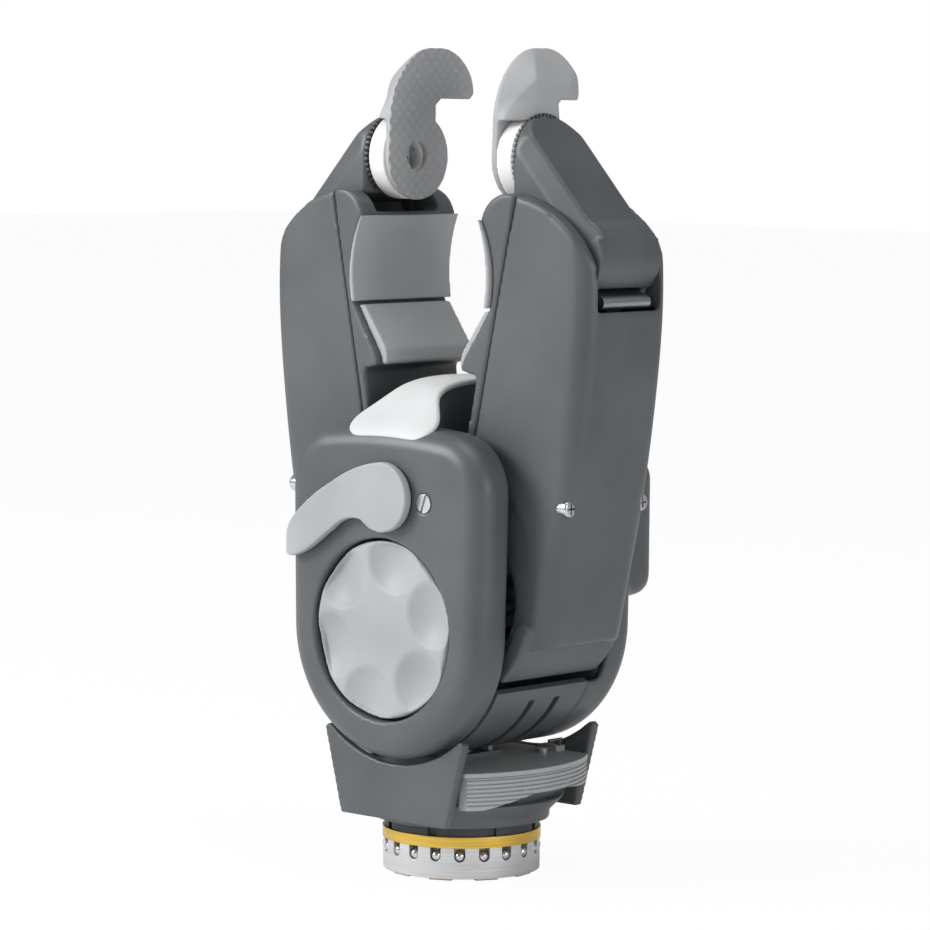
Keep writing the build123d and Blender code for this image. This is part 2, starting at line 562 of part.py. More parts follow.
def arm_profile():
    """Side outline of one arm, from the lobe at the top round to the lower edge."""
    top = ThreePointArc((53.4, 139.0), (45.6, 154.6), (30.5, 162.8))
    lobe = ThreePointArc((30.5, 162.8), (22.6, 162.4), (18.9, 157.4))
    hollow = ThreePointArc((18.9, 157.4), (22.3, 147.5), (21.9, 136.6))
    edges = top + lobe + hollow
    inner = [(21.9, 136.6), (14.1, 124.2), (13.4, 121.6), (18.1, 120.6), (15.6, 107.0), (15.2, 103.0),
             (19.8, 88.0)]
    edges += Polyline(*inner)
    start = polar(PIVOT_X, PIVOT_Z, 17.6, 60)
    edges += Line(inner[-1], start)
    stop = polar(PIVOT_X, PIVOT_Z, 17.6, -42)
    edges += ThreePointArc(start, polar(PIVOT_X, PIVOT_Z, 17.6, 9), stop)
    edges += Polyline(stop, (27.0, 55.6), (44.0, 58.9), (60.0, 62.0), (60.0, 139.0), (53.4, 139.0))
    return make_face(edges)


def parting_block():
    """Everything on the inner side of the line where the two arm shells meet."""
    edge = Polyline((30.0, 166.2), (17.3, 104.0), (0, 104.0), (0, 170.0), (30.0, 170.0), close=True)
    return slab(make_face(edge), -30, 30)


def build_arm_shells():
    outside = arm_loft(0) & slab(arm_profile(), -30, 30)
    hollow_side = Polyline((24.4, SLOT_BOTTOM_Z), (23.4, 136.4), (19.6, 120.4), (17.4, 106.0), (17.3,
                                                                                                104.0), (0,
                                                                                                         104.0),
                           (0, 40.0), (60.0, 40.0), (60.0, SLOT_BOTTOM_Z), close=True)
    hollow = arm_loft(SHELL_WALL) & slab(make_face(hollow_side), -30, 30)
    slot = block(24.4, 60, -FORK_HALF, FORK_HALF, SLOT_BOTTOM_Z - 0.01, 175)
    slot += block(10, 60, -FORK_HALF, FORK_HALF, 158.0, 175)
    shell = outside - hollow - slot
    for side in (-1, 1):
        low = min(side * (FRAME_Y_IN - 0.1), side * (FRAME_Y_OUT + 0.1))
        high = max(side * (FRAME_Y_IN - 0.1), side * (FRAME_Y_OUT + 0.1))
        pocket = Polyline((24.6, 134.0), (24.6, 151.0), (37.0, 151.0), (37.0, 134.0), close=True)
        shell -= slab(make_face(pocket), low, high)
    shell -= pin_y(ELBOW_X, ELBOW_Z, ELBOW_PIN_R + 0.05, -FRAME_Y_OUT, FRAME_Y_OUT)
    skirt = slab(arc_band(PIVOT_X, PIVOT_Z, SKIRT_R - SKIRT_WALL, SKIRT_R, -52, -16), -ARM_DEPTH_IN + 0.3,
                 ARM_DEPTH_IN - 0.3)
    cheek = arc_band(PIVOT_X, PIVOT_Z, 17.8, SKIRT_R, -52, -14)
    for side in (-1, 1):
        low = min(side * (ARM_DEPTH_IN - 2.0), side * (ARM_DEPTH_IN - 0.3))
        high = max(side * (ARM_DEPTH_IN - 2.0), side * (ARM_DEPTH_IN - 0.3))
        skirt += slab(cheek, low, high)
    for side in (-1, 1):
        shell -= pin_x(side * 13.0, 91.0, 1.1, 36, 60)
        shell -= pin_x(side * 13.0, 91.0, 2.15, 45.3, 60)
    inner = shell & parting_block()
    outer = shell - parting_block()
    nodes["arm_outer_shell"] = outer + skirt
    nodes["arm_inner_shell"] = inner
    screws = []
    for side in (-1, 1):
        head = pin_x(side * 13.0, 91.0, 2.05, 45.3, 46.2) + pin_x(side * 13.0, 91.0, 1.0, 38.0, 45.3)
        screws.append(head)
    nodes["shell_screws"] = Compound(screws)


def arm_plate():
    plate = make_hull((Pos(PIVOT_X, PIVOT_Z) * Circle(HUB_R)).edges() + (Pos(26.0,
                                                                             108.0) * Circle(3.8)).edges())
    plate += make_hull((Pos(26.0, 108.0) * Circle(3.8)).edges() + (Pos(ELBOW_X,
                                                                       ELBOW_Z) * Circle(3.9)).edges())
    plate += Pos(31.0, 91.0) * Rectangle(19.0, 5.0)
    return plate - Pos(ELBOW_X, ELBOW_Z) * Circle(ELBOW_PIN_R)


def build_arm_frames():
    bore = Pos(PIVOT_X, PIVOT_Z) * Circle(AXLE_R + RUN)
    frame = slab(Pos(PIVOT_X, PIVOT_Z) * Circle(HUB_R), -FRAME_Y_IN, FRAME_Y_IN)
    for low, high in ((-FRAME_Y_OUT, -FRAME_Y_IN), (FRAME_Y_IN, FRAME_Y_OUT)):
        frame += slab(arm_plate(), low, high)
    web = Pos(24.6, 104.0) * Rot(0, 0, -16) * Rectangle(3.0, 13.0)
    frame += slab(web, -FRAME_Y_IN, FRAME_Y_IN)
    frame &= arm_loft(SHELL_WALL + 0.1) + block(-10, 60, -20, 20, 134.1, 160)
    for side in (-1, 1):
        frame -= pin_x(side * 13.0, 91.0, 1.0, 37.9, 45)
    plain = frame
    right = plain + slab(gear(SECTOR_TEETH, PIVOT_X, PIVOT_Z, 180, 150, 282, 2.0), DRIVE_PLANE[0],
                         SECTOR_PLANE[1])
    mesh = math.degrees(math.atan2(WHEEL_Z - PIVOT_Z, -PIVOT_X)) % 360
    right += slab(gear(WHEEL_GEAR_TEETH, PIVOT_X, PIVOT_Z, mesh, 176, 272, 2.0), *WHEEL_PLANE)
    nodes["right_arm_frame"] = right - slab(bore, -20, 20)
    phase = 180 + 180 / SECTOR_TEETH
    left = plain + slab(gear(SECTOR_TEETH, PIVOT_X, PIVOT_Z, phase, 150, 222, 2.0), *SECTOR_PLANE)
    nodes["left_arm_frame"] = mirror(left - slab(bore, -20, 20), about=Plane.YZ)


def build_pads():
    face = ThreePointArc((18.9, 157.4), (22.3, 147.5), (21.9, 136.6))
    inner = ThreePointArc((18.5, 157.4), (22.3 - PAD_THICK, 147.5), (21.9 - PAD_THICK, 136.6))
    edges = face + Line(face @ 1, inner @ 1) + inner + Line(inner @ 0, face @ 0)
    upper = slab(make_face(edges), -ARM_DEPTH_IN + 0.1, ARM_DEPTH_IN - 0.1)
    nodes["upper_pad"] = upper - nodes["arm_inner_shell"]
    slope = math.atan2(136.6 - 124.2, 21.9 - 14.1)
    normal = (-math.sin(slope) * 2.4, math.cos(slope) * 2.4)
    near = (21.4, 135.8)
    far = (14.1, 124.2)
    lower = Polyline(near, far, (13.4, 121.6), (13.4 + normal[0] * 0.8, 122.2), (far[0] + normal[0],
                                                                                 far[1] + normal[1]),
                     (near[0] + normal[0], near[1] + normal[1] - 1.2), close=True)
    nodes["lower_pad"] = slab(make_face(lower), -15.2, 15.2) - nodes["arm_inner_shell"]


def build_linkage():
    pin = pin_y(ELBOW_X, ELBOW_Z, ELBOW_PIN_R, -FRAME_Y_OUT, FRAME_Y_OUT)
    nodes["elbow_pin"] = pin
    rod = make_hull((Pos(ROD_X, ROD_Z) * Circle(2.6)).edges() + (Pos(ROD_END_X,
                                                                     ROD_END_Z) * Circle(2.2)).edges())
    rod -= Pos(ROD_X, ROD_Z) * Circle(ROD_PIN_R + RUN)
    rod -= Pos(ROD_END_X, ROD_END_Z) * Circle(ROD_PIN_R + 0.15)
    head = make_hull((Pos(ROD_END_X, ROD_END_Z) * Circle(2.2)).edges() + (Pos(48.6,
                                                                              138.7) * Circle(1.7)).edges())
    head -= Pos(ROD_END_X, ROD_END_Z) * Circle(ROD_PIN_R + 0.15)
    nodes["control_rod"] = slab(rod, -2.4, 2.4) + slab(head, -8.4, 8.4)
    nodes["rod_end_pin"] = pin_y(ROD_END_X, ROD_END_Z, ROD_PIN_R, -10.6, 10.6)


def phalanx_profile():
    slope = Line((TIP_HUB_BACK_X, 181.6), (46.0, 157.6))
    end = ThreePointArc((46.0, 157.6), (51.5, 149.2), (48.0, 141.9))
    foot = Polyline((48.0, 141.9), (47.2, 141.6), (47.0, 138.6))
    eye = ThreePointArc((47.0, 138.6), (44.5, 136.6), (42.0, 138.6))
    under = Polyline((42.0, 138.6), (41.6, 141.6), (36.0, 144.0), (34.6, 142.2))
    boss = ThreePointArc((34.6, 142.2), (ELBOW_X, ELBOW_Z - 5.0), (26.2, 147.0))
    neck = Polyline((26.2, 147.0), (27.2, 150.4), (31.8, 160.0), (TIP_HUB_BACK_X, 162.6), (TIP_HUB_BACK_X,
                                                                                           181.6))
    return make_face(slope + end + foot + eye + under + boss + neck)


def build_phalanx():
    body = slab(phalanx_profile(), -PHALANX_HALF, PHALANX_HALF)
    crown = Pos(0, TIP_AXIS_Z) * Circle(PHALANX_HALF) + Pos(0,
                                                            TIP_AXIS_Z - 25) * Rectangle(2 * PHALANX_HALF,
                                                                                         50)
    body &= extrude(Plane.YZ.offset(20) * crown, amount=40)
    outer_edges = body.edges().filter_by(
        lambda e: (e @ 0.5).X > 36 and (e @ 0.5).Z > 155 and abs(abs((e @ 0.5).Y) - PHALANX_HALF) < 0.1)
    body = fillet(outer_edges, 1.6)
    gap = slab(make_hull((Pos(ROD_END_X, ROD_END_Z) * Circle(3.0)).edges() + (Pos(50,
                                                                                  138.0) * Circle(3.2)).edges()), -8.7, 8.7)
    gap += block(36.5, 42.6, -3.0, 3.0, 130, 147.5)
    body -= gap
    body -= pin_y(ELBOW_X, ELBOW_Z, ELBOW_PIN_R + RUN, -12, 12)
    body -= pin_y(ROD_END_X, ROD_END_Z, ROD_PIN_R, -12, 12)
    body -= pin_x(0, TIP_AXIS_Z, 1.6, 20, 33)
    nodes["phalanx"] = body


def tip_outline():
    """Hook outline in Y and Z, seen along the tip's own hinge axis."""
    z = TIP_AXIS_Z
    side = TIP_SIDE_Y
    left = Line((side, z), (side + 0.4, z + 10.0))
    shoulder = Spline((side + 0.4, z + 10.0), (-7.3, z + 17.6), (-0.6, z + 24.6), (6.6, z + TIP_TOP))
    nose = Spline((6.6, z + TIP_TOP), (14.4, z + 24.2), (19.3, z + 18.4), (TIP_NOSE_Y, z + 15.2))
    under = Polyline((TIP_NOSE_Y, z + 15.2), (18.6, z + 13.8), (8.2, z + 13.9), (6.4, z + 12.4), (6.3,
                                                                                                  z + 8.4))
    heel = ThreePointArc((6.3, z + 8.4), (0, z - 10.5), (side, z))
    return make_face(left + shoulder + nose + under + heel)


def build_tips():
    plate = extrude(Plane.YZ.offset(TIP_FACE_X) * tip_outline(), amount=TIP_PLATE)
    cap = extrude(Plane.YZ.offset(TIP_FACE_X) * tip_outline(), amount=CAP_BACK_X - TIP_FACE_X)
    crest = TIP_AXIS_Z + TIP_TOP
    side_low = Line((TIP_FACE_X, crest), (TIP_FACE_X, CAP_BOTTOM_Z)) + Line((TIP_FACE_X, CAP_BOTTOM_Z),
                                                                         (CAP_BACK_X, CAP_BOTTOM_Z))
    side_high = Line((CAP_BACK_X, CAP_BOTTOM_Z), (CAP_BACK_X, crest - 7))
    side_round = ThreePointArc((CAP_BACK_X, crest - 7), (CAP_BACK_X - 1.6, crest - 2.4), (TIP_FACE_X + 1.6,
                                                                                          crest))
    side_view = make_face(side_low + side_high + side_round + Line(side_round @ 1, side_low @ 0))
    nose_round = ThreePointArc((CAP_BACK_X, 9.0), (CAP_BACK_X - 1.8, 16.6), (TIP_FACE_X + 1.2,
                                                                             TIP_NOSE_Y + 0.2))
    back_round = ThreePointArc((TIP_FACE_X + 2.0, TIP_SIDE_Y - 0.3), (CAP_BACK_X - 1.4, -7.6), (CAP_BACK_X,
                                                                                                -3.0))
    plan_edges = nose_round + back_round + Line(back_round @ 1, nose_round @ 0)
    plan_edges += Polyline(nose_round @ 1, (TIP_FACE_X, TIP_NOSE_Y + 0.2), (TIP_FACE_X, TIP_SIDE_Y - 0.3),
                           back_round @ 0)
    cap &= slab(side_view, -60, 60)
    cap &= layer(make_face(plan_edges), CAP_BOTTOM_Z, crest)
    tip = plate + cap - pin_x(0, TIP_AXIS_Z, TIP_HOLE_R, 10, 30)
    nodes["grip_tip"] = tip
    hub = pin_x(0, TIP_AXIS_Z, TIP_HUB_R, TIP_FACE_X + TIP_PLATE, TIP_HUB_BACK_X - CLEAR)
    hub = chamfer(hub.faces().sort_by(Axis.X)[-1].edges(), HUB_EDGE)
    hub &= block(0, 60, -60, 60, 100, CAP_BOTTOM_Z)
    hub -= pin_x(0, TIP_AXIS_Z, TIP_HOLE_R, 10, 21.6)
    hub -= pin_x(0, TIP_AXIS_Z, 1.6 + RUN, 10, 30)
    nodes["tip_hub"] = hub
    screw = pin_x(0, TIP_AXIS_Z, 2.8, 19.9, 21.6 - 0.1) + pin_x(0, TIP_AXIS_Z, 1.6, 21.5, 32)
    screw -= block(19, 20.5, -0.35, 0.35, TIP_AXIS_Z - 4, TIP_AXIS_Z + 4)
    nodes["tip_screw"] = screw


def pair_up(names):
    """Turn each +X piece into a right one and its mirror image on the left."""
    for name in names:
        piece = nodes.pop(name)
        nodes["right_" + name] = piece
        nodes["left_" + name] = mirror(piece, about=Plane.YZ)


build_coupling()
build_bracket()
build_covers()
build_drum()
build_chassis()
build_saddle()
build_wheel()
build_lever()
build_drive()
build_arm_shells()
build_pads()
build_linkage()
build_phalanx()
build_tips()
pair_up(["arm_outer_shell", "arm_inner_shell", "shell_screws", "upper_pad", "lower_pad", "elbow_pin",
         "control_rod",
         "rod_end_pin", "phalanx", "grip_tip", "tip_hub", "tip_screw"])
build_arm_frames()

os.makedirs("parts", exist_ok=True)
for name, shape in nodes.items():
    export_step(solid_of(shape), "parts/" + name + ".step")
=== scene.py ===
import bpy
import json
import math
from mathutils import Matrix, Vector

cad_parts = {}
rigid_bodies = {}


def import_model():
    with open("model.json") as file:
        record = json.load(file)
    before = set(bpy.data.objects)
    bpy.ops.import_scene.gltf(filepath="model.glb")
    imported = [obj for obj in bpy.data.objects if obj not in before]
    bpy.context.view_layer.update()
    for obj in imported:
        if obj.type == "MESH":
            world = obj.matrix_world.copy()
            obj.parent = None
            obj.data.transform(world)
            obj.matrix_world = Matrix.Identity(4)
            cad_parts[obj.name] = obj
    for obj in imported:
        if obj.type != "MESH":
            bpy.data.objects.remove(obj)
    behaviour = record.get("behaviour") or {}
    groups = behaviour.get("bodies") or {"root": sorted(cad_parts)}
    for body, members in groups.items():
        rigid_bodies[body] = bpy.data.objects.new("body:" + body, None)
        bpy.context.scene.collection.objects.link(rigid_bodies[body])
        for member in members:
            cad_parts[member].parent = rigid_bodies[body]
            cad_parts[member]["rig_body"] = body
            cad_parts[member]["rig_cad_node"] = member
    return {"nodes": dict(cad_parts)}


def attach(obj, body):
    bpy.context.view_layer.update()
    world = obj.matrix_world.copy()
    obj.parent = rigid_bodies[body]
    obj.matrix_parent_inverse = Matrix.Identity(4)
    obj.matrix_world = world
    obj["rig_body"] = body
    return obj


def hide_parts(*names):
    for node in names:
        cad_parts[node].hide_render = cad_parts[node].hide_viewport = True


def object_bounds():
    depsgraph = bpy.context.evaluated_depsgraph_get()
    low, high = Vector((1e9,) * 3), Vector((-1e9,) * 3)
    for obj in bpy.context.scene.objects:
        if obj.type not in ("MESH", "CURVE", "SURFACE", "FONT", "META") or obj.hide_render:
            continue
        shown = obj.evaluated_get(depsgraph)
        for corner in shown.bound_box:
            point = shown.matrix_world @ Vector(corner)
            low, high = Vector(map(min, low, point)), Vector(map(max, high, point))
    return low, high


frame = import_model()
cad_bounds = [list(corner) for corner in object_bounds()]
nodes = frame["nodes"]
MM = 0.001


# Coupling ring: a turned stainless steel ring with open slots round its top edge, the male half
# of the quick-disconnect wrist. Turning leaves fine bands round it that stretch the highlights.
def linear(hex_colour):
    """An sRGB hex colour as linear red, green, blue and alpha."""
    shades = [int(hex_colour[start:start + 2], 16) / 255 for start in (1, 3, 5)]
    return [c / 12.92 if c <= 0.04045 else ((c + 0.055) / 1.055) ** 2.4 for c in shades] + [1.0]


def add_node(tree, kind, settings, inputs):
    """Adds one shader node with its settings, and sets or links its inputs."""
    node = tree.nodes.new(kind)
    for name, value in settings.items():
        setattr(node, name, value)
    for socket, value in inputs.items():
        if isinstance(value, bpy.types.NodeSocket):
            tree.links.new(value, node.inputs[socket])
        else:
            node.inputs[socket].default_value = value
    return node


def start_material(name):
    """A new node material, its tree and the Principled shader on its output."""
    material = bpy.data.materials.new(name)
    material.use_nodes = True
    return material, material.node_tree, material.node_tree.nodes["Principled BSDF"]


def colour_ramp(tree, factor, stops):
    """A ramp through the given places and hex colours."""
    ramp = add_node(tree, "ShaderNodeValToRGB", {}, {"Fac": factor})
    while len(ramp.color_ramp.elements) < len(stops):
        ramp.color_ramp.elements.new(0.5)
    for element, (place, shade) in zip(ramp.color_ramp.elements, stops):
        element.position = place
        element.color = linear(shade)
    return ramp.outputs["Color"]


def paint(names, material):
    """Gives CAD nodes a material in place of their own."""
    for name in names:
        data = nodes[name].data
        data.materials.clear()
        data.materials.append(material)


def machined_metal(name, dark, light, roughness, band_mm, edge_mm, metallic=1.0):
    """Turned or milled metal: thin bands of two shades up the height, and softly broken edges."""
    material, tree, shader = start_material(name)
    around_scale = 60
    band_scale = 1000 / band_mm
    place = add_node(tree, "ShaderNodeTexCoord", {}, {})
    squeeze = add_node(tree, "ShaderNodeMapping", {},
                       {"Vector": place.outputs["Object"],
                        "Scale": (around_scale, around_scale, band_scale)})
    bands = add_node(tree, "ShaderNodeTexNoise", {},
                     {"Vector": squeeze.outputs["Vector"], "Scale": 1.0, "Detail": 3.0})
    shade = colour_ramp(tree, bands.outputs["Fac"], ((0.3, dark), (0.7, light)))
    edge = add_node(tree, "ShaderNodeBevel", {"samples": 6}, {"Radius": edge_mm * MM})
    bump = add_node(tree, "ShaderNodeBump", {},
                    {"Height": bands.outputs["Fac"], "Strength": 0.12, "Distance": 0.02 * MM,
                     "Normal": edge.outputs["Normal"]})
    tree.links.new(shade, shader.inputs["Base Color"])
    tree.links.new(bump.outputs["Normal"], shader.inputs["Normal"])
    shader.inputs["Metallic"].default_value = metallic
    shader.inputs["Roughness"].default_value = roughness
    return material


turned_stainless = machined_metal("turned_stainless_steel", "#c3c4c5", "#d9dadb", 0.34, 0.35, 0.2,
                                  0.55)
paint(["coupling_ring", "snap_ring"], turned_stainless)


# Detent balls: hardened bearing balls behind the slots, ground and polished to a mirror, so each
# one shows a small picture of the white room.
polished_steel = machined_metal("polished_bearing_steel", "#c8cacc", "#dfe1e3", 0.08, 0.8, 0.05)
paint(["detent_balls"], polished_steel)


# Retaining ring, contact tabs and round plug: brass with a thin gold plate, which gives the warm
# yellow satin line between the steel ring and the black collar.
gold_plate = machined_metal("gold_plated_brass", "#c99f3a", "#e6c661", 0.3, 0.3, 0.15, 0.75)
paint(["retaining_ring", "contact_tabs", "coaxial_plug"], gold_plate)


# Wrist collar: glass-filled nylon, moulded in black, whose matt face has a faint grey bloom from
# the glass. The real mould grain is under a tenth of a millimetre, so it is drawn coarser to show.
def moulded_plastic(name, dark, light, roughness, grain_mm, relief, edge_mm):
    """Moulded plastic: slow clouds between two shades, a spark-eroded grain and soft edges."""
    material, tree, shader = start_material(name)
    cloud_scale = 45.0
    grain_scale = 1000 / grain_mm
    place = add_node(tree, "ShaderNodeTexCoord", {}, {})
    clouds = add_node(tree, "ShaderNodeTexNoise", {},
                      {"Vector": place.outputs["Object"], "Scale": cloud_scale, "Detail": 2.0})
    grain = add_node(tree, "ShaderNodeTexNoise", {},
                     {"Vector": place.outputs["Object"], "Scale": grain_scale, "Detail": 2.0,
                      "Roughness": 0.6})
    blend = add_node(tree, "ShaderNodeMix", {"data_type": "FLOAT"},
                     {0: 0.35, 2: clouds.outputs["Fac"], 3: grain.outputs["Fac"]})
    shade = colour_ramp(tree, blend.outputs[0], ((0.36, dark), (0.64, light)))
    gloss = add_node(tree, "ShaderNodeMapRange", {},
                     {"Value": grain.outputs["Fac"], "From Min": 0.3, "From Max": 0.7,
                      "To Min": roughness - 0.05, "To Max": roughness + 0.05})
    edge = add_node(tree, "ShaderNodeBevel", {"samples": 6}, {"Radius": edge_mm * MM})
    bump = add_node(tree, "ShaderNodeBump", {},
                    {"Height": grain.outputs["Fac"], "Strength": relief, "Distance": 0.06 * MM,
                     "Normal": edge.outputs["Normal"]})
    tree.links.new(shade, shader.inputs["Base Color"])
    tree.links.new(gloss.outputs["Result"], shader.inputs["Roughness"])
    tree.links.new(bump.outputs["Normal"], shader.inputs["Normal"])
    return material


black_nylon = moulded_plastic("glass_filled_nylon_black", "#2a2c2d", "#37393b", 0.5, 0.4, 0.25,
                              0.25)
paint(["wrist_collar", "circuit_board"], black_nylon)


# Bracket: one moulding of dark grey glass-filled nylon, with two cheek plates that stand either
# side of the drum and flare at their corners, and a flared bowl down to the flange. The mould was
# spark-eroded, which leaves an even satin face.
def deselect():
    """Leaves nothing selected."""
    bpy.ops.object.select_all(action="DESELECT")


def add_block(centre, size, turn=None):
    """A block in millimetres, turned by a matrix if one is given."""
    deselect()
    bpy.ops.mesh.primitive_cube_add(size=1, location=[place * MM for place in centre])
    block = bpy.context.object
    block.scale = [length * MM for length in size]
    if turn is not None:
        block.rotation_euler = turn.to_euler()
    return block


def cut_away(piece, tool):
    """Cuts one closed mesh out of another and removes the tool."""
    deselect()
    piece.select_set(True)
    bpy.context.view_layer.objects.active = piece
    cut = piece.modifiers.new("cut", "BOOLEAN")
    cut.operation = "DIFFERENCE"
    cut.solver = "EXACT"
    cut.object = tool
    bpy.ops.object.modifier_apply(modifier=cut.name)
    bpy.data.objects.remove(tool)


def join_up(pieces):
    """Joins meshes into the first of them."""
    deselect()
    for piece in pieces:
        piece.select_set(True)
    bpy.context.view_layer.objects.active = pieces[0]
    bpy.ops.object.join()


def close_seams(merge_mm):
    """Merges the doubles of the active mesh and turns its faces outwards."""
    bpy.ops.object.mode_set(mode="EDIT")
    bpy.ops.mesh.select_all(action="SELECT")
    bpy.ops.mesh.remove_doubles(threshold=merge_mm * MM)
    bpy.ops.mesh.normals_make_consistent(inside=False)
    bpy.ops.object.mode_set(mode="OBJECT")


def moulded_copy(name, source, voxel_mm, passes, material, body, keep=0.45, grown=(), cuts=()):
    """A finished copy of a CAD node: cut, joined to what grows on it, then softened and thinned."""
    deselect()
    piece = nodes[source].copy()
    piece.data = nodes[source].data.copy()
    piece.parent = None
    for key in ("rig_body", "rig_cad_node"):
        if key in piece:
            del piece[key]
    bpy.context.scene.collection.objects.link(piece)
    piece.select_set(True)
    bpy.context.view_layer.objects.active = piece
    close_seams(0.01)
    for tool in cuts:
        cut_away(piece, tool)
    if grown:
        join_up([piece, *grown])
    remesh = piece.modifiers.new("skin", "REMESH")
    remesh.mode = "VOXEL"
    remesh.voxel_size = voxel_mm * MM
    soften = piece.modifiers.new("soften", "SMOOTH")
    soften.factor = 0.5
    soften.iterations = passes
    thin = piece.modifiers.new("thin", "DECIMATE")
    thin.ratio = keep
    for step in (remesh, soften, thin):
        bpy.ops.object.modifier_apply(modifier=step.name)
    bpy.ops.object.shade_smooth()
    piece.name = name
    piece.data.name = name
    piece.data.materials.clear()
    piece.data.materials.append(material)
    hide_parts(source)
    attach(piece, body)
    return piece


dark_nylon = moulded_plastic("glass_filled_nylon_dark_grey", "#4a4e51", "#565a5d", 0.42, 0.32,
                             0.3, 0.35)
paint(["drum_shell", "chassis", "palm_support"], dark_nylon)
BOWL_Z = 16.6
FLANGE_R = 21.3
BOWL_TOP_R = 25.6
bowl_cutter = add_block((0, 0, BOWL_Z), (80, 44, 3.5))
deselect()
bpy.ops.mesh.primitive_cone_add(vertices=96, radius1=FLANGE_R * MM, radius2=BOWL_TOP_R * MM,
                                depth=4.4 * MM, location=(0, 0, BOWL_Z * MM))
cut_away(bowl_cutter, bpy.context.object)
moulded_copy("bracket_moulding", "wrist_bracket", 0.5, 5, dark_nylon, "wrist", cuts=[bowl_cutter])


# Small hardware: deck screws, catch wire, lock plunger, axles and pins. They are turned from steel
# wire and bright zinc plated, so they glint where they show.
bright_steel = machined_metal("bright_zinc_plated_steel", "#b4b7ba", "#d0d3d6", 0.25, 0.5, 0.15)
paint(["deck_screws", "catch_wire", "lock_plunger", "cover_screw", "arm_axles", "rod_pivot_pins",
       "right_elbow_pin", "left_elbow_pin", "right_rod_end_pin", "left_rod_end_pin",
       "right_tip_screw", "left_tip_screw"], bright_steel)


# Lock slide: the ribbed grip under the deck plate's edge, pushed sideways to free the wrist. Slide,
# deck plate and catch tab are light grey ABS from a lightly textured mould.
light_abs = moulded_plastic("moulded_abs_light_grey", "#9a9c9e", "#a9abad", 0.5, 0.35, 0.25, 0.25)
paint(["lock_slide", "catch_tab", "deck_plate"], light_abs)


# Flexion shoe, arm frames, control rods, gears and motor: milled steel with a dull satin face.
# Most of it hides inside the covers and shows only in the gaps.
milled_steel = machined_metal("milled_steel", "#8e9194", "#b2b5b8", 0.36, 0.4, 0.2)
paint(["flexion_shoe", "right_arm_frame", "left_arm_frame", "right_control_rod",
       "left_control_rod", "drive_gear", "wheel_pinion", "gearhead", "motor"], milled_steel)


# Covers: two deep shells in the dark nylon, screwed together over the chassis front and rear. The
# rear one has a rounded block moulded on its back.
moulded_copy("front_shell", "front_cover", 0.6, 5, dark_nylon, "hand")
rear_bulge = add_block((0, 30.0, 82.5), (61.0, 12.6, 34.0))
bulge_edge = rear_bulge.modifiers.new("edge", "BEVEL")
bulge_edge.width = 5.0 * MM
bulge_edge.segments = 5
bpy.ops.object.transform_apply(location=True, rotation=True, scale=True)
bpy.ops.object.modifier_apply(modifier=bulge_edge.name)
moulded_copy("rear_shell", "rear_cover", 0.7, 7, dark_nylon, "hand", grown=[rear_bulge])


# Palm saddle: a pale elastomer pad laid over the palm block, narrow on top and spread into two
# flaps down on the covers. Each row of its path is depth, height and half width in millimetres.
def finish_piece(name, material, body, *stands_for):
    """Names the active object, applies its place and gives it a material and a body."""
    piece = bpy.context.object
    bpy.ops.object.transform_apply(location=True, rotation=True, scale=True)
    piece.name = name
    piece.data.name = name
    piece.data.materials.clear()
    piece.data.materials.append(material)
    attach(piece, body)
    if stands_for:
        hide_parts(*stands_for)


pale_elastomer = moulded_plastic("thermoplastic_elastomer_pale", "#c3c5c6", "#cdcecf", 0.55, 0.3,
                                 0.2, 0.3)
SADDLE_PATH = ((29.0, 105.7, 9.5), (28.4, 107.2, 12.4), (26.6, 109.3, 13.8), (24.0, 111.3, 13.6),
               (21.2, 113.9, 10.6), (18.4, 116.2, 7.7), (15.0, 117.9, 7.0), (9.0, 119.1, 6.9),
               (0.0, 119.5, 6.9))
FLAP_HALF = 9
FLAP_SAG = 0.9
STRAP_SAG = 0.35
saddle_rows = [(-depth, height, half) for depth, height, half in SADDLE_PATH]
saddle_rows += [(depth, height, half) for depth, height, half in reversed(SADDLE_PATH[:-1])]
last_row = len(saddle_rows) - 1
deselect()
bpy.ops.mesh.primitive_grid_add(x_subdivisions=8, y_subdivisions=last_row, size=1)
saddle = bpy.context.object
for vertex in saddle.data.vertices:
    across = vertex.co.x * 2
    depth, height, half = saddle_rows[round((vertex.co.y + 0.5) * last_row)]
    sag = FLAP_SAG if half > FLAP_HALF else STRAP_SAG
    vertex.co = Vector((across * half, depth, height - sag * across ** 2)) * MM
saddle_wall = saddle.modifiers.new("wall", "SOLIDIFY")
saddle_wall.thickness = 1.7 * MM
saddle_wall.offset = -1
saddle_skin = saddle.modifiers.new("skin", "SUBSURF")
saddle_skin.levels = 2
saddle_skin.render_levels = 2
bpy.ops.object.modifier_apply(modifier=saddle_wall.name)
bpy.ops.object.modifier_apply(modifier=saddle_skin.name)
bpy.ops.object.mode_set(mode="EDIT")
bpy.ops.mesh.select_all(action="SELECT")
bpy.ops.mesh.normals_make_consistent(inside=False)
bpy.ops.object.mode_set(mode="OBJECT")
bpy.ops.object.shade_smooth()
finish_piece("palm_pad", pale_elastomer, "hand", "palm_saddle")


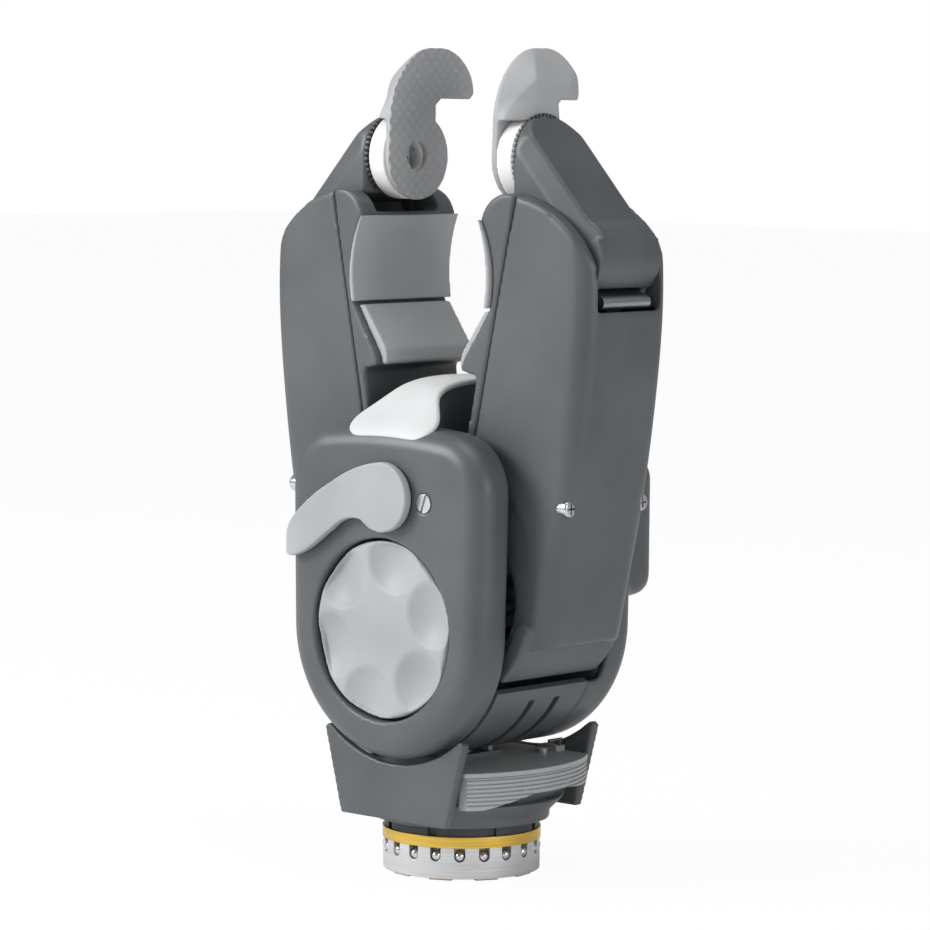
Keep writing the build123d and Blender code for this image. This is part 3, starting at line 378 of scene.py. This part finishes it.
# Hand wheel: a light grey ABS disc sunk in a cup of the front cover, for driving the grip by
# hand. Six thumb hollows round its rim are deepened here from the shallow ones of the CAD.
WHEEL_CENTRE_Z = 60.04
WHEEL_FACE_Y = -26.4
WHEEL_RIM = 20.4
HOLLOWS = 6
HOLLOW_PHASE = 77
HOLLOW_RING = 17.4
HOLLOW_REACH = 7.6
HOLLOW_DEPTH = 0.9
thumb_wheel = moulded_copy("thumb_wheel", "hand_wheel", 0.3, 2, light_abs, "wheel", 0.6)
for step in range(HOLLOWS):
    angle = math.radians(HOLLOW_PHASE + 360 / HOLLOWS * step)
    middle_x = HOLLOW_RING * math.cos(angle)
    middle_z = WHEEL_CENTRE_Z + HOLLOW_RING * math.sin(angle)
    for vertex in thumb_wheel.data.vertices:
        place = vertex.co / MM
        gap = math.hypot(place.x - middle_x, place.z - middle_z) / HOLLOW_REACH
        inside_rim = math.hypot(place.x, place.z - WHEEL_CENTRE_Z) < WHEEL_RIM
        if gap < 1 and place.y < WHEEL_FACE_Y and inside_rim:
            vertex.co.y += HOLLOW_DEPTH * MM * (1 - gap ** 2)


# Release lever: a comma of the same light grey ABS, turning on its round end. Its tail reaches
# past the side of the front cover and bends back round the cover's rounded edge.
TAIL_X = -14
TAIL_STRETCH = 1.28
COVER_SIDE = 31.5
EDGE_R = 5.5
EDGE_FOLLOW = 0.85
lever = moulded_copy("lever_comma", "release_lever", 0.35, 8, light_abs, "lever")
for vertex in lever.data.vertices:
    reach = vertex.co.x / MM
    if reach < TAIL_X:
        reach = TAIL_X + (reach - TAIL_X) * TAIL_STRETCH
        inset = min(max(COVER_SIDE - abs(reach), 0), EDGE_R)
        fall = EDGE_R - math.sqrt(EDGE_R ** 2 - (EDGE_R - inset) ** 2)
        vertex.co.x = reach * MM
        vertex.co.y += EDGE_FOLLOW * fall * MM


# Arms: each is two dark nylon shells over a steel frame, parted by a line near the inner edge,
# with two pads of grey elastomer in front. The back shell is hollowed on both faces round the
# hand body, so the arm clears the covers as it opens.
CLEARANCE_R = 29.5
CLEARANCE_X = 5.0
CLEARANCE_Y = 17.5
CLEARANCE_Z = 75.0
grey_elastomer = moulded_plastic("thermoplastic_elastomer_grey", "#999b9e", "#a7a9ab", 0.55, 0.3,
                                 0.2, 0.3)
for side, sign in (("right", 1), ("left", -1)):
    arm = side + "_arm"
    hollows = []
    for face in (-1, 1):
        deselect()
        bpy.ops.mesh.primitive_cylinder_add(vertices=96, radius=CLEARANCE_R * MM, depth=4 * MM,
                                            rotation=(math.pi / 2, 0, 0),
                                            location=(sign * CLEARANCE_X * MM,
                                                      face * CLEARANCE_Y * MM, CLEARANCE_Z * MM))
        hollows.append(bpy.context.object)
    moulded_copy(arm + "_back", arm + "_outer_shell", 0.6, 6, dark_nylon, arm, 0.4, cuts=hollows)
    moulded_copy(arm + "_front", arm + "_inner_shell", 0.6, 5, dark_nylon, arm)
    moulded_copy(side + "_pad_upper", side + "_upper_pad", 0.4, 4, grey_elastomer, arm)
    moulded_copy(side + "_pad_lower", side + "_lower_pad", 0.4, 4, grey_elastomer, arm)


# Shell screws: two pan heads with a cross recess hold each outer shell to its steel frame. They
# are cold-headed from bright plated steel wire and stand a little proud of the shell.
HEAD_R = 2.05
HEAD_LENGTH = 6.0
HEAD_MIDDLE_X = 42.0
HEAD_Y = 12.9
HEAD_Z = 91.0
RECESS_X = 45.2
for side, sign in (("right", 1), ("left", -1)):
    heads = []
    for across in (-HEAD_Y, HEAD_Y):
        deselect()
        bpy.ops.mesh.primitive_cylinder_add(vertices=40, radius=HEAD_R * MM,
                                            depth=HEAD_LENGTH * MM,
                                            location=(sign * HEAD_MIDDLE_X * MM, across * MM,
                                                      HEAD_Z * MM),
                                            rotation=(0, sign * math.pi / 2, 0))
        head = bpy.context.object
        crown = head.modifiers.new("crown", "BEVEL")
        crown.width = 0.6 * MM
        crown.segments = 4
        crown.limit_method = "ANGLE"
        bpy.ops.object.modifier_apply(modifier=crown.name)
        for slot_size in ((2.0, 0.5, 2.7), (2.0, 2.7, 0.5)):
            cut_away(head, add_block((sign * RECESS_X, across, HEAD_Z), slot_size))
        heads.append(head)
    join_up(heads)
    bpy.ops.object.shade_smooth_by_angle(angle=math.radians(35))
    finish_piece(side + "_cross_screws", bright_steel, side + "_arm", side + "_shell_screws")


# Finger links: dark nylon beams from the elbow pin up to the tip. Their long outer slope is a
# ridge between two flat flanks, and a plug closes the tip screw's bore where it meets the slope.
SLOPE = math.radians(47.5)
FLANK = math.radians(20.8)
RIDGE_X = 24.0
RIDGE_Z = 181.6
FLANK_Y = 12.66
TIP_AXIS_Z = 171.4
PLUG_X = 33.35
BORE_PLAY = 0.6
for side, sign in (("right", 1), ("left", -1)):
    along = Vector((sign * math.cos(SLOPE), 0, -math.sin(SLOPE)))
    outward = Vector((sign * math.sin(SLOPE), 0, math.cos(SLOPE)))
    lean = Matrix.Rotation(sign * SLOPE, 3, "Y")
    tools = []
    for face in (-1, 1):
        centre = Vector((sign * RIDGE_X, face * FLANK_Y, RIDGE_Z)) + along * 16 - outward * 1.43
        turn = lean @ Matrix.Rotation(face * FLANK, 3, "X")
        tools.append(add_block(centre, (44, 6, 14), turn))
    plug = add_block(Vector((sign * PLUG_X, 0, TIP_AXIS_Z)) - outward * 0.75, (4.6, 4.6, 1.3), lean)
    pin_box = [Vector(corner) for corner in nodes[side + "_elbow_pin"].bound_box]
    pin_centre = sum(pin_box, Vector()) / 8
    bore_r = pin_box[6].x - pin_centre.x + BORE_PLAY * MM
    deselect()
    bpy.ops.mesh.primitive_cylinder_add(vertices=64, radius=bore_r, depth=60 * MM,
                                        location=pin_centre, rotation=(math.pi / 2, 0, 0))
    tools.append(bpy.context.object)
    moulded_copy(side + "_link", side + "_phalanx", 0.45, 5, dark_nylon, side + "_finger",
                 grown=[plug], cuts=tools)


# Turning tips: a white acetal hub, smooth and slightly glossy, and a hooked tip of grey elastomer
# over a steel core. Its grip face has moulded diamonds, 2.2 mm between rows and so 3.1 mm up the
# height, and its back is rounded at the nose.
white_acetal = moulded_plastic("acetal_white", "#dededc", "#ececea", 0.35, 0.3, 0.15, 0.3)
BOLT_END_X = 30.3
GRIP_FACE_X = 16.5
DIAMOND = 3.1
DIAMOND_DEPTH = 0.42
BACK_START_X = 17.2
BACK_THICK = 6.4
BACK_START_Z = 180.0
BACK_FADE = 6.0
BACK_SHRINK = 0.34
HOOK_CENTRE_Y = 4.0
HOOK_CENTRE_Z = 185.5
for side, sign in (("right", 1), ("left", -1)):
    bolt_end = add_block((sign * (BOLT_END_X + 2.7), 0, TIP_AXIS_Z), (5.4, 12, 12))
    moulded_copy(side + "_tip_bolt", side + "_tip_screw", 0.15, 1, bright_steel, side + "_tip",
                 cuts=[bolt_end])
    moulded_copy(side + "_hub", side + "_tip_hub", 0.35, 4, white_acetal, side + "_tip")
    hook = moulded_copy(side + "_hook", side + "_grip_tip", 0.32, 5, grey_elastomer, side + "_tip",
                        0.8)
    for vertex in hook.data.vertices:
        if abs(vertex.co.x) < GRIP_FACE_X * MM:
            rise = abs(math.sin(math.pi * (vertex.co.y + vertex.co.z) / (DIAMOND * MM)))
            fall = abs(math.sin(math.pi * (vertex.co.y - vertex.co.z) / (DIAMOND * MM)))
            vertex.co.x += sign * DIAMOND_DEPTH * MM * (1 - min(1.0, 1.35 * rise * fall))
        depth = min(max((abs(vertex.co.x) / MM - BACK_START_X) / BACK_THICK, 0.0), 1.0)
        height = min(max((vertex.co.z / MM - BACK_START_Z) / BACK_FADE, 0.0), 1.0)
        shrink = BACK_SHRINK * depth ** 1.1 * height ** 2 * (3 - 2 * height)
        vertex.co.y += (HOOK_CENTRE_Y * MM - vertex.co.y) * shrink
        vertex.co.z += (HOOK_CENTRE_Z * MM - vertex.co.z) * shrink


# Ratchet teeth: a ring of small nylon teeth moulded on each link's inner face round the hub, which
# the tip clicks over as it is turned by hand.
TEETH = 50
TEETH_X = 23.75
TEETH_R = 10.35
LOWEST_TOOTH = -0.75
for side, sign in (("right", 1), ("left", -1)):
    teeth = []
    for step in range(TEETH):
        angle = 2 * math.pi * step / TEETH
        if math.cos(angle) > LOWEST_TOOTH:
            place = (sign * TEETH_X, -TEETH_R * math.sin(angle),
                     TIP_AXIS_Z + TEETH_R * math.cos(angle))
            teeth.append(add_block(place, (0.9, 0.62, 0.85), Matrix.Rotation(angle, 3, "X")))
    join_up(teeth)
    finish_piece(side + "_ratchet_teeth", dark_nylon, side + "_finger")


# Floor and room: a wide white sheet that carries the shadow, in a plain white room. The camera
# sees both nearly white, while the light they throw on the hand stays low.
bpy.ops.mesh.primitive_plane_add(size=8.0, location=(0, 0, cad_bounds[0][2]))
floor = bpy.context.object
floor.name = "studio_floor"
floor_paint, floor_tree, floor_shader = start_material("studio_white_paint")
floor_shader.inputs["Base Color"].default_value = linear("#fafafa")
floor_shader.inputs["Roughness"].default_value = 0.9
FLOOR_GLOW_SHARE = 0.95
floor_path = add_node(floor_tree, "ShaderNodeLightPath", {}, {})
glow = add_node(floor_tree, "ShaderNodeEmission", {}, {"Color": (1, 1, 1, 1), "Strength": 1.0})
share = add_node(floor_tree, "ShaderNodeMath", {"operation": "MULTIPLY"},
                 {0: floor_path.outputs["Is Camera Ray"], 1: FLOOR_GLOW_SHARE})
mixer = add_node(floor_tree, "ShaderNodeMixShader", {},
                 {0: share.outputs[0], 1: floor_shader.outputs[0], 2: glow.outputs[0]})
floor_tree.links.new(mixer.outputs[0], floor_tree.nodes["Material Output"].inputs[0])
floor.data.materials.append(floor_paint)

ROOM_LIGHT = 0.34
world = bpy.data.worlds.new("white_room")
bpy.context.scene.world = world
world.use_nodes = True
room = world.node_tree.nodes["Background"]
room_path = add_node(world.node_tree, "ShaderNodeLightPath", {}, {})
level = add_node(world.node_tree, "ShaderNodeMapRange", {},
                 {"Value": room_path.outputs["Is Camera Ray"], "To Min": ROOM_LIGHT, "To Max": 1.0})
room.inputs["Color"].default_value = (1, 1, 1, 1)
world.node_tree.links.new(level.outputs["Result"], room.inputs["Strength"])


# Lamps: a large soft box at the left front, a weaker one at the right, and one overhead. Each is
# given by its place and the spot it points at in metres, its width and its watts.
def soft_box(name, place, aim, size, watts):
    """A square area lamp pointed at a spot."""
    data = bpy.data.lights.new(name, "AREA")
    data.size = size
    data.energy = watts
    lamp = bpy.data.objects.new(name, data)
    bpy.context.scene.collection.objects.link(lamp)
    lamp.location = place
    lamp.rotation_euler = (Vector(aim) - Vector(place)).to_track_quat("-Z", "Y").to_euler()


PALM = (0, 0, 0.1)
soft_box("key_box", (-0.6, -0.8, 0.62), PALM, 0.5, 11.5)
soft_box("fill_box", (1.15, -0.05, 0.35), PALM, 0.5, 3.2)
soft_box("top_box", (0.1, -0.1, 1.2), PALM, 0.7, 4.5)


# Camera: a long lens to the right of the front, a little above the palm, as in the photograph.
# Its focal length is in pixels of the photograph's frame, and its place in metres.
SENSOR = 36.0
FOCAL_PX = 4142.6
FRAME_PX = 930
AZIMUTH = 42.18
PITCH = 5.127
ROLL = 0.56
camera_data = bpy.data.cameras.new("studio_camera")
camera_data.sensor_width = SENSOR
camera_data.lens = SENSOR * FOCAL_PX / FRAME_PX
camera_data.clip_start = 0.05
camera_data.clip_end = 20.0
camera = bpy.data.objects.new("studio_camera", camera_data)
bpy.context.scene.collection.objects.link(camera)
camera_turn = (Matrix.Rotation(math.radians(AZIMUTH), 4, "Z")
               @ Matrix.Rotation(math.radians(90 - PITCH), 4, "X")
               @ Matrix.Rotation(math.radians(ROLL), 4, "Z"))
camera.matrix_world = Matrix.Translation((0.6671, -0.7363, 0.18665)) @ camera_turn
bpy.context.scene.camera = camera
bpy.context.scene.view_settings.view_transform = "Standard"
